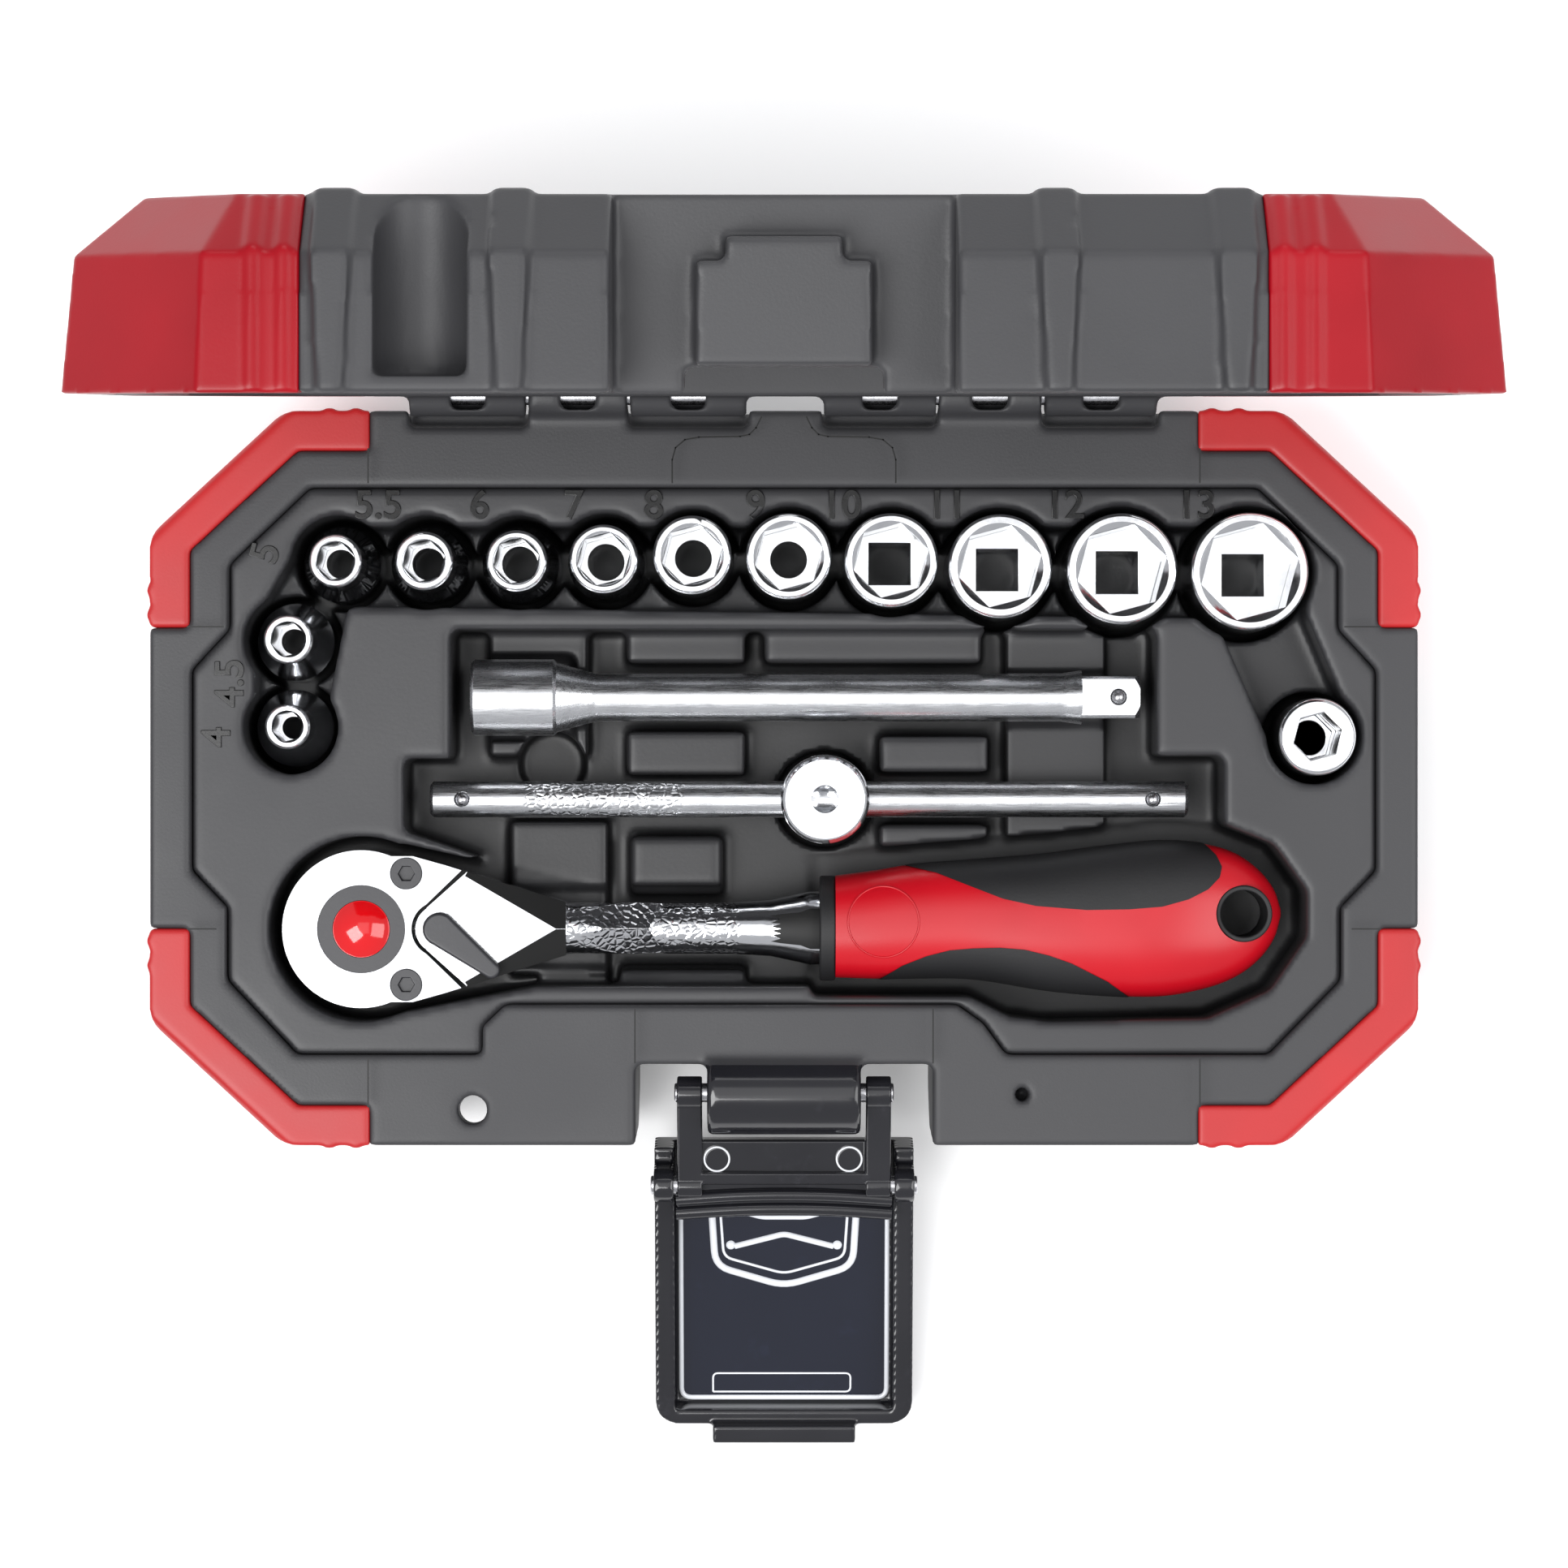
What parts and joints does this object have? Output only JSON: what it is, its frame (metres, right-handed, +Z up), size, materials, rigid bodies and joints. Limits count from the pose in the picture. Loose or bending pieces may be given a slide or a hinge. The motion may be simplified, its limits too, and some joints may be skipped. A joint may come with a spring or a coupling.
{
  "type": "socket wrench set in case",
  "caption": "Small quarter inch drive socket set in a hinged plastic case with a tool tray and a draw latch, shown open.",
  "frame": {"origin": "centre of the base's flat underside, under the middle of its outline at the parting line", "axes": "+X to the right as the user faces the latch, +Y from the latch to the hinge, +Z up"},
  "size_m": [0.1924, 0.1851, 0.1398],
  "materials": {
    "case_plastic": "fine grain, moulded",
    "tray_plastic": "fine grain, moulded",
    "guard_red": "satin moulded",
    "lid_red": "satin gloss moulded",
    "latch_plastic": "gloss",
    "pin_steel": "plain",
    "socket_chrome": "polished, satin inside",
    "bar_chrome": "satin chrome plated",
    "head_chrome": "mirror polished",
    "black_steel": "black phosphate",
    "button_red": "gloss",
    "handle_red": "satin gloss",
    "grip_rubber": "soft matt"
  },
  "bodies": {
    "base": {"base_shell": "case_plastic", "tray_insert": "tray_plastic", "base_corner_fl": "guard_red", "base_corner_fr": "guard_red", "base_corner_bl": "guard_red", "base_corner_br": "guard_red", "hinge_pins": "pin_steel", "latch_base_pin": "pin_steel"},
    "lid": {"lid_shell": "case_plastic", "lid_corner_fl": "lid_red", "lid_corner_fr": "lid_red", "lid_corner_bl": "lid_red", "lid_corner_br": "lid_red"},
    "latch_link": {"latch_link": "latch_plastic", "latch_plate_pins": "pin_steel"},
    "latch_plate": {"latch_plate": "latch_plastic"},
    "socket_4": {"socket_4": "socket_chrome"},
    "socket_4_5": {"socket_4_5": "socket_chrome"},
    "socket_5": {"socket_5": "socket_chrome"},
    "socket_5_5": {"socket_5_5": "socket_chrome"},
    "socket_6": {"socket_6": "socket_chrome"},
    "socket_7": {"socket_7": "socket_chrome"},
    "socket_8": {"socket_8": "socket_chrome"},
    "socket_9": {"socket_9": "socket_chrome"},
    "socket_10": {"socket_10": "socket_chrome"},
    "socket_11": {"socket_11": "socket_chrome"},
    "socket_12": {"socket_12": "socket_chrome"},
    "socket_13": {"socket_13": "socket_chrome"},
    "adapter": {"bit_adapter": "socket_chrome", "bit_adapter_clip": "pin_steel"},
    "extension": {"extension_bar": "bar_chrome", "extension_ball": "pin_steel"},
    "t_head": {"t_handle_head": "bar_chrome", "t_head_ball": "pin_steel"},
    "t_bar": {"t_handle_bar": "bar_chrome", "t_bar_balls": "pin_steel"},
    "ratchet": {"ratchet_body": "head_chrome", "ratchet_cover_plate": "head_chrome", "ratchet_cover_screws": "black_steel", "ratchet_collar": "grip_rubber", "ratchet_handle_core": "handle_red", "ratchet_grip_upper": "grip_rubber", "ratchet_grip_lower": "grip_rubber", "ratchet_grommet": "grip_rubber"},
    "ratchet_drive": {"ratchet_drive_gear": "black_steel", "ratchet_drive_ball": "pin_steel", "ratchet_button_spring": "pin_steel"},
    "release_button": {"ratchet_release_button": "button_red"},
    "reverse_lever": {"ratchet_reverse_lever": "black_steel"},
    "pawl": {"ratchet_pawl": "pin_steel"}
  },
  "joints": [
    {"name": "lid_hinge", "type": "hinge", "parent": "base", "child": "lid", "pos_m": [0, 0.0575, 0.026], "axis": [-1, 0, 0], "range_deg": [-85.5, 0]},
    {"name": "latch_link_swing", "type": "hinge", "parent": "base", "child": "latch_link", "pos_m": [0, -0.04765, 0.0225], "axis": [-1, 0, 0], "range_deg": [-80, 0]},
    {"name": "latch_plate_swing", "type": "hinge", "parent": "latch_link", "child": "latch_plate", "pos_m": [0, -0.06188, 0.01922], "axis": [1, 0, 0], "range_deg": [-183.1, 0]},
    {"name": "socket_4_lift", "type": "slide", "parent": "base", "child": "socket_4", "axis": [0, 0, 1], "range_m": [0, 0.06]},
    {"name": "socket_4_5_lift", "type": "slide", "parent": "base", "child": "socket_4_5", "axis": [0, 0, 1], "range_m": [0, 0.06]},
    {"name": "socket_5_lift", "type": "slide", "parent": "base", "child": "socket_5", "axis": [0, 0, 1], "range_m": [0, 0.06]},
    {"name": "socket_5_5_lift", "type": "slide", "parent": "base", "child": "socket_5_5", "axis": [0, 0, 1], "range_m": [0, 0.06]},
    {"name": "socket_6_lift", "type": "slide", "parent": "base", "child": "socket_6", "axis": [0, 0, 1], "range_m": [0, 0.06]},
    {"name": "socket_7_lift", "type": "slide", "parent": "base", "child": "socket_7", "axis": [0, 0, 1], "range_m": [0, 0.06]},
    {"name": "socket_8_lift", "type": "slide", "parent": "base", "child": "socket_8", "axis": [0, 0, 1], "range_m": [0, 0.06]},
    {"name": "socket_9_lift", "type": "slide", "parent": "base", "child": "socket_9", "axis": [0, 0, 1], "range_m": [0, 0.06]},
    {"name": "socket_10_lift", "type": "slide", "parent": "base", "child": "socket_10", "axis": [0, 0, 1], "range_m": [0, 0.06]},
    {"name": "socket_11_lift", "type": "slide", "parent": "base", "child": "socket_11", "axis": [0, 0, 1], "range_m": [0, 0.06]},
    {"name": "socket_12_lift", "type": "slide", "parent": "base", "child": "socket_12", "axis": [0, 0, 1], "range_m": [0, 0.06]},
    {"name": "socket_13_lift", "type": "slide", "parent": "base", "child": "socket_13", "axis": [0, 0, 1], "range_m": [0, 0.06]},
    {"name": "adapter_lift", "type": "slide", "parent": "base", "child": "adapter", "axis": [0, 0, 1], "range_m": [0, 0.06]},
    {"name": "extension_lift", "type": "slide", "parent": "base", "child": "extension", "axis": [0, 0, 1], "range_m": [0, 0.06]},
    {"name": "t_handle_lift", "type": "slide", "parent": "base", "child": "t_head", "axis": [0, 0, 1], "range_m": [0, 0.06]},
    {"name": "ratchet_lift", "type": "slide", "parent": "base", "child": "ratchet", "axis": [0, 0, 1], "range_m": [0, 0.06]},
    {"name": "t_bar_slide", "type": "slide", "parent": "t_head", "child": "t_bar", "axis": [1, 0, 0], "range_m": [0, 0.036]},
    {"name": "ratchet_drive_spin", "type": "hinge", "parent": "ratchet", "child": "ratchet_drive", "pos_m": [-0.0638, -0.0228, 0.02], "axis": [0, 0, 1], "continuous": true},
    {"name": "release_button_press", "type": "slide", "parent": "ratchet_drive", "child": "release_button", "axis": [0, 0, 1], "range_m": [-0.0017, 0], "stiffness_N_per_m": 300, "springref_m": 0.002, "deforming": ["ratchet_button_spring"]},
    {"name": "reverse_lever_swing", "type": "hinge", "parent": "ratchet", "child": "reverse_lever", "pos_m": [-0.052, -0.0228, 0.025], "axis": [0, 0, 1], "range_deg": [0, 76]},
    {"name": "pawl_tilt", "type": "hinge", "parent": "ratchet", "child": "pawl", "pos_m": [-0.052, -0.0228, 0.019], "axis": [0, 0, 1], "range_deg": [0, 9.2]}
  ],
  "couplings": [
    {"joint": "latch_plate_swing", "follows": "latch_link_swing", "ratio": 2.2875},
    {"joint": "t_bar_slide", "follows": "t_handle_lift", "ratio": 0.6},
    {"joint": "pawl_tilt", "follows": "reverse_lever_swing", "ratio": 0.12}
  ]
}
